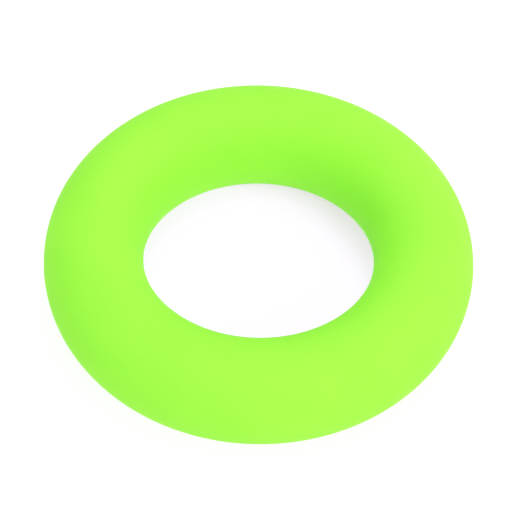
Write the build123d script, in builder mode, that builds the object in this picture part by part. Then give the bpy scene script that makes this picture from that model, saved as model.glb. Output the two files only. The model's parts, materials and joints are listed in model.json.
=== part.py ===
from build123d import *
import os

# A plain ring of soft silicone rubber, moulded in one piece.
# Millimetres, +Z up. The ring lies flat on Z = 0, and the origin is under the centre of its hole.

# Driving dimensions
outer_diameter = 70.0
section_width = 16.2  # from the wall of the hole to the outer wall
section_height = 17.4  # the ring's thickness as it lies

# Worked out from them
ring_radius = (outer_diameter - section_width) / 2  # to the middle of the section

os.makedirs("parts", exist_ok=True)

# The ring: an oval section, a little taller than it is wide, turned about the axis of the hole
with BuildPart() as ring:
    with BuildSketch(Plane.XZ) as ring_section:
        with Locations((ring_radius, section_height / 2)):
            Ellipse(section_width / 2, section_height / 2)
    revolve(axis=Axis.Z)
ring.part.label = "ring"

export_step(ring.part, "parts/ring.step")
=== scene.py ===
import json
from math import cos, radians, sin, tau

import bmesh
import bpy
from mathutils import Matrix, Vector, noise


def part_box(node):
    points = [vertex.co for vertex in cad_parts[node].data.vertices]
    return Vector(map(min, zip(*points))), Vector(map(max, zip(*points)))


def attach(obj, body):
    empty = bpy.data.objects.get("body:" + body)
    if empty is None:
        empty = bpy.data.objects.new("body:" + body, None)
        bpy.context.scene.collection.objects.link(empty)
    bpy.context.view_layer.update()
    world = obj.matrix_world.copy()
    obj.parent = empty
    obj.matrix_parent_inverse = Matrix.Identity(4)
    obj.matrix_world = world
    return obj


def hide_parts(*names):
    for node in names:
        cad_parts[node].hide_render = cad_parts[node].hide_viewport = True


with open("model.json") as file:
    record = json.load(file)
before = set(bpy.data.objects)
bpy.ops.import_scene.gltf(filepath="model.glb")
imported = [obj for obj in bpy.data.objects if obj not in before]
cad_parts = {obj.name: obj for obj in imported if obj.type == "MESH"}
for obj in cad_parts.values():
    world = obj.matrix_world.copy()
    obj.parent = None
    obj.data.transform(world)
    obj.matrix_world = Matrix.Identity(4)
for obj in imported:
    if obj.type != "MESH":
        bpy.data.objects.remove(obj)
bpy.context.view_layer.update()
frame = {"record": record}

MM = 0.001

# The ring's own measures, from the CAD model
low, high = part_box("ring")
mounts = {mount["name"]: mount for mount in frame["record"]["mounts"]}
ring_centre = (low + high) / 2
ring_radius = mounts["rest_circle"]["dims"]["r_mm"] * MM  # to the middle of the section
half_width = (high.x - low.x) / 2 - ring_radius
half_height = (high.z - low.z) / 2

# The ring's mesh
RING_STEPS = 320
SECTION_STEPS = 144
CROWDING = 0.7  # draws the section's points together at mid-height, where the parting line is

# The witness that the mould's parting leaves on the inner and the outer wall
LINE_HEIGHT = 0.02 * MM
LINE_HALF_WIDTH = 0.35 * MM
LINE_UNEVENNESS = 0.6
LINE_PATCH = 15 * MM

# The silicone, with its colour as linear values
BODY_GREEN = (0.252, 0.757, 0.0385)
BODY_DRIFT = 0.03
ROUGHNESS = 0.75
ROUGHNESS_DRIFT = 0.05
SPECULAR = 0.2
SCATTER = 0.3
SCATTER_LENGTH = 2 * MM
SCATTER_COLOUR = (1.0, 1.6, 0.5)  # green goes the furthest

# How large and deep its unevenness is: pigment clouds, marks of handling, the mould's swells and grain
CLOUD_SIZE = 9 * MM
HANDLING_SIZE = 6 * MM
SWELL_SIZE = 3 * MM
SWELL_DEPTH = 0.012 * MM
GRAIN_SIZE = 0.35 * MM
GRAIN_DEPTH = 0.003 * MM
BLOTCH_DETAIL = 2.0
BLOTCH_SPREAD = (0.25, 0.75)  # where nearly all of the noise lies, of its whole range from 0 to 1

# The camera: a long lens well above the front of the ring
SENSOR_WIDTH = 36.0
LENS = 162.8
CAMERA_ELEVATION = 50.92
CAMERA_ROLL = 1.147
CAMERA_DISTANCE = 14.05  # in radii of the ring
CAMERA_AIM = (-0.0164, 0.0, 0.0092)  # from the ring's centre, in radii of the ring

# The studio: disc lights all round, a pale tent, and a floor that glows like a light table, with painted
# shade and a painted tint inside the circle the ring rests on
LIGHT_DISTANCE = 1.0
LIGHT_SIZE = 0.7
LIGHTS = {  # name: (azimuth, elevation, watts)
    "key": (45, 35, 7.7),
    "top": (0, 90, 2.6),
    "back_low": (135, 10, 2.5),
    "back_high": (180, 62, 3.6),
    "left_fill": (315, 35, 2.4),
}
TENT_STRENGTH = 0.52
TENT_FOOT_STRENGTH = 1.1  # where it meets the floor
TENT_FOOT_RISE = 0.18  # the sine of the elevation where the foot ends
FLOOR_SIZE = 6.0
FLOOR_COLOUR = (0.36, 0.36, 0.36)
FLOOR_GLOW = (0.845, 0.845, 0.845)
# Painted colours for the floor inside the ring: a dimmer glow as painted shade, and a violet tint painted
# against the green light the walls reflect onto it
HOLE_PAINTED_COLOUR = (0.74, 0.64, 0.85)  # leans away from green, against the green that the walls throw on it
HOLE_PAINTED_GLOW = (0.49, 0.345, 0.53)
PAINTED_PATCH_EDGE = 0.95  # of the ring's radius: from here to the circle it rests on, they give way to the floor's

# Tones above the shoulder roll off, and reach white here
SHOULDER = 0.75
WHITE = 2 - SHOULDER
SHOULDER_STEPS = 5
ALL_CHANNELS = 3  # the one of Blender's four curves that red, green and blue share


def from_ring(azimuth, elevation, distance):
    """A place seen from the ring's centre. Azimuth 0 is in front, on -Y, and 90 is to the right."""
    turn, rise = radians(azimuth), radians(elevation)
    return ring_centre + distance * Vector((sin(turn) * cos(rise), -cos(turn) * cos(rise), sin(rise)))


def aim(thing, place, target, roll=0.0):
    """Puts a camera or a light at a place, turned towards a target."""
    thing.location = place
    thing.rotation_euler = (target - place).to_track_quat("-Z", "Y").to_euler()
    thing.rotation_euler.rotate_axis("Z", roll)


def link(name, data):
    """A new object in the scene."""
    thing = bpy.data.objects.new(name, data)
    bpy.context.scene.collection.objects.link(thing)
    return thing


def link_mesh(name, bm, material):
    """A new smooth-shaded object from a bmesh."""
    mesh = bpy.data.meshes.new(name)
    bm.to_mesh(mesh)
    bm.free()
    mesh.shade_smooth()
    mesh.materials.append(material)
    return link(name, mesh)


# The ring


def parting_line(turn, height):
    """How proud the parting line stands, at a turn around the ring and a height above the ring's middle."""
    across = height / LINE_HALF_WIDTH
    if abs(across) >= 1:
        return 0.0
    wander = noise.noise(ring_radius / LINE_PATCH * Vector((cos(turn), sin(turn), 0)))
    return LINE_HEIGHT * (1 + LINE_UNEVENNESS * wander) * (1 - across**2) ** 2


def section_loop(bm, turn):
    """The points of the ring's oval section, at one turn around the ring."""
    out = Vector((cos(turn), sin(turn), 0))
    loop = []
    for step in range(SECTION_STEPS):
        swing = tau * step / SECTION_STEPS
        swing -= CROWDING * sin(2 * swing) / 2
        height = half_height * sin(swing)
        radius = ring_radius + (half_width + parting_line(turn, height)) * cos(swing)
        loop.append(bm.verts.new(radius * out + Vector((0, 0, ring_centre.z + height))))
    return loop


def add_ring(material):
    """The whole ring: one even skin of quads that closes on itself both ways."""
    bm = bmesh.new()
    loops = [section_loop(bm, tau * step / RING_STEPS) for step in range(RING_STEPS)]
    for here, there in zip(loops, loops[1:] + loops[:1]):
        for step in range(SECTION_STEPS):
            after = (step + 1) % SECTION_STEPS
            bm.faces.new((here[step], there[step], there[after], here[after]))
    ring = link_mesh("silicone_ring", bm, material)
    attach(ring, "root")
    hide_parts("ring")


# Materials


def add_node(tree, kind, inputs, **settings):
    """A new node. An input is given a value or, from another node's output, a link."""
    node = tree.nodes.new(kind)
    for name, value in settings.items():
        setattr(node, name, value)
    for name, value in inputs.items():
        if isinstance(value, bpy.types.NodeSocket):
            tree.links.new(value, node.inputs[name])
        else:
            node.inputs[name].default_value = value
    return node


def new_material(name):
    """A material with its node tree, its shader and the places of the surface's points, in metres."""
    material = bpy.data.materials.new(name)
    material.use_nodes = True
    tree = material.node_tree
    places = tree.nodes.new("ShaderNodeTexCoord").outputs["Object"]
    return material, tree, tree.nodes["Principled BSDF"], places


def blotches(tree, places, size, seed, lowest=0.0, highest=1.0):
    """A soft random pattern of blotches of about that size, as a number from lowest to highest."""
    pattern = add_node(
        tree,
        "ShaderNodeTexNoise",
        {"Vector": places, "W": seed, "Scale": 1 / size, "Detail": BLOTCH_DETAIL},
        noise_dimensions="4D",
    )
    spread = {"Value": pattern.outputs["Fac"], "From Min": BLOTCH_SPREAD[0], "From Max": BLOTCH_SPREAD[1]}
    limits = {"To Min": lowest, "To Max": highest}
    return add_node(tree, "ShaderNodeMapRange", spread | limits, clamp=False).outputs["Result"]


def bump(tree, height, depth, under=None):
    """A relief of that depth in metres, on top of the relief under it."""
    inputs = {"Height": height, "Distance": depth}
    if under:
        inputs["Normal"] = under
    return add_node(tree, "ShaderNodeBump", inputs).outputs["Normal"]


def silicone():
    """Neon green silicone rubber: pigmented through, with the satin skin that a blasted mould gives it."""
    material, tree, shader, places = new_material("neon_silicone")

    # The pigment is not quite even
    drift = blotches(tree, places, size=CLOUD_SIZE, seed=1.0, lowest=1 - BODY_DRIFT, highest=1 + BODY_DRIFT)
    body = add_node(tree, "ShaderNodeVectorMath", {"Vector": BODY_GREEN, "Scale": drift}, operation="SCALE")
    tree.links.new(body.outputs["Vector"], shader.inputs["Base Color"])

    # Handling leaves some places a little smoother than others
    roughness = blotches(
        tree,
        places,
        size=HANDLING_SIZE,
        seed=2.0,
        lowest=ROUGHNESS - ROUGHNESS_DRIFT,
        highest=ROUGHNESS + ROUGHNESS_DRIFT,
    )
    tree.links.new(roughness, shader.inputs["Roughness"])

    # The mould's slight unevenness, and its blasted grain
    swells = bump(tree, blotches(tree, places, size=SWELL_SIZE, seed=3.0), depth=SWELL_DEPTH)
    grain = bump(tree, blotches(tree, places, size=GRAIN_SIZE, seed=4.0), depth=GRAIN_DEPTH, under=swells)
    tree.links.new(grain, shader.inputs["Normal"])

    # Little gloss, and light that goes a little way in
    shader.inputs["Specular IOR Level"].default_value = SPECULAR
    shader.inputs["Subsurface Weight"].default_value = SCATTER
    shader.inputs["Subsurface Scale"].default_value = SCATTER_LENGTH
    shader.inputs["Subsurface Radius"].default_value = SCATTER_COLOUR
    return material


def floor_with_painted_patch():
    """A pale floor, lit a little from below. Inside the circle the ring rests on, it has painted colours: a
    dimmer glow there is painted shade, and a violet tint is painted against the green light that the ring's
    walls throw on it.
    """
    material, tree, shader, places = new_material("floor")
    # A mask: 0 on the painted patch of shade and tint inside the ring, 1 on the plain floor beyond it
    radius = add_node(tree, "ShaderNodeVectorMath", {"Vector": places}, operation="LENGTH").outputs["Value"]
    painted_patch_fade = {"Value": radius, "From Min": PAINTED_PATCH_EDGE * ring_radius, "From Max": ring_radius}
    beyond_painted_patch = add_node(tree, "ShaderNodeMapRange", painted_patch_fade, interpolation_type="SMOOTHSTEP").outputs["Result"]
    for socket, painted_patch, floor in (
        ("Base Color", HOLE_PAINTED_COLOUR, FLOOR_COLOUR),
        ("Emission Color", HOLE_PAINTED_GLOW, FLOOR_GLOW),
    ):
        colour = add_node(
            tree, "ShaderNodeMixRGB", {"Fac": beyond_painted_patch, "Color1": (*painted_patch, 1.0), "Color2": (*floor, 1.0)}
        )
        tree.links.new(colour.outputs["Color"], shader.inputs[socket])
    shader.inputs["Emission Strength"].default_value = 1.0
    shader.inputs["Roughness"].default_value = 1.0
    shader.inputs["Specular IOR Level"].default_value = 0.0
    return material


# The studio


def add_floor(material):
    bm = bmesh.new()
    bmesh.ops.create_grid(bm, x_segments=1, y_segments=1, size=FLOOR_SIZE / 2)
    link_mesh("floor", bm, material)


def add_light(name, azimuth, elevation, watts):
    data = bpy.data.lights.new(name, "AREA")
    data.shape = "DISK"
    data.size = LIGHT_SIZE
    data.energy = watts
    light = link(name, data)
    light.visible_camera = False
    aim(light, from_ring(azimuth, elevation, LIGHT_DISTANCE), ring_centre)


def add_tent():
    """The world as a pale tent, brighter towards its foot."""
    world = bpy.data.worlds.new("tent")
    world.use_nodes = True
    tree = world.node_tree
    direction = tree.nodes.new("ShaderNodeTexCoord").outputs["Generated"]
    rise = add_node(tree, "ShaderNodeSeparateXYZ", {"Vector": direction}).outputs["Z"]
    foot = {"Value": rise, "From Min": 0.0, "From Max": TENT_FOOT_RISE}
    strength = {"To Min": TENT_FOOT_STRENGTH, "To Max": TENT_STRENGTH}
    glow = add_node(tree, "ShaderNodeMapRange", foot | strength, interpolation_type="SMOOTHSTEP")
    background = tree.nodes["Background"]
    background.inputs["Color"].default_value = (1.0, 1.0, 1.0, 1.0)
    tree.links.new(glow.outputs["Result"], background.inputs["Strength"])
    bpy.context.scene.world = world


def add_camera():
    data = bpy.data.cameras.new("camera")
    data.sensor_width = SENSOR_WIDTH
    data.lens = LENS
    camera = link("camera", data)
    place = from_ring(azimuth=0, elevation=CAMERA_ELEVATION, distance=CAMERA_DISTANCE * ring_radius)
    target = ring_centre + ring_radius * Vector(CAMERA_AIM)
    aim(camera, place, target, roll=radians(CAMERA_ROLL))
    bpy.context.scene.camera = camera


def set_highlights():
    """Lets the brightest tones roll off to white, as a camera does, in place of clipping."""
    view = bpy.context.scene.view_settings
    view.view_transform = "Standard"
    view.use_curve_mapping = True
    mapping = view.curve_mapping
    mapping.clip_max_x = WHITE
    curve = mapping.curves[ALL_CHANNELS]
    curve.points[1].location = (SHOULDER, SHOULDER)
    for point in curve.points:
        point.handle_type = "VECTOR"
    for step in range(1, SHOULDER_STEPS + 1):
        past = step / SHOULDER_STEPS
        tone = SHOULDER + (2 * past - past**2) * (1 - SHOULDER)
        curve.points.new(SHOULDER + past * (WHITE - SHOULDER), tone)
    mapping.update()


add_camera()
add_ring(silicone())
add_floor(floor_with_painted_patch())
for name, (azimuth, elevation, watts) in LIGHTS.items():
    add_light(name, azimuth, elevation, watts)
add_tent()
set_highlights()
